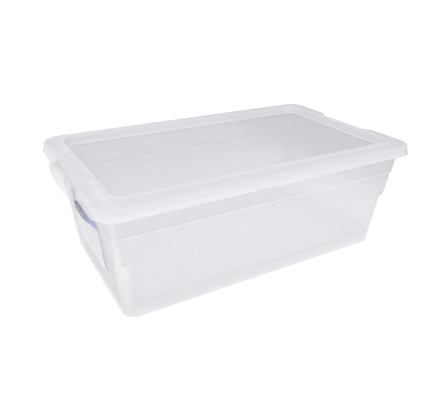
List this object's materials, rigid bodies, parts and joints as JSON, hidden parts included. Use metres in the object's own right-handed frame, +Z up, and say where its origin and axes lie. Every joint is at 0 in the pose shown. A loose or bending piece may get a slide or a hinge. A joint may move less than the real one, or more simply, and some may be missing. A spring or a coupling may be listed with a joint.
{
  "type": "lidded storage box",
  "caption": "Low, rectangular, translucent plastic storage box with drafted walls, a curled grip lip at each short end and a push-fit lid that lifts off.",
  "frame": {"origin": "bottom centre of the bounding box, on the surface that the box stands on", "axes": "+X along the long side, +Y across, +Z up; the label is on the -X end"},
  "size_m": [0.356, 0.21, 0.124],
  "materials": {
    "tub_plastic": "natural translucent polypropylene, softly glossy outside, slightly milky",
    "lid_plastic": "natural translucent polypropylene, fine matt grain on the panel, softly glossy rim",
    "label_print": "printed film label, blue header over pale grey lower part"
  },
  "bodies": {
    "tub": {"tub": "tub_plastic", "end_label": "label_print"},
    "lid": {"lid": "lid_plastic"}
  },
  "joints": [
    {"name": "lid_lift", "type": "slide", "parent": "tub", "child": "lid", "axis": [0, 0, 1], "range_m": [0, 0.15]}
  ]
}
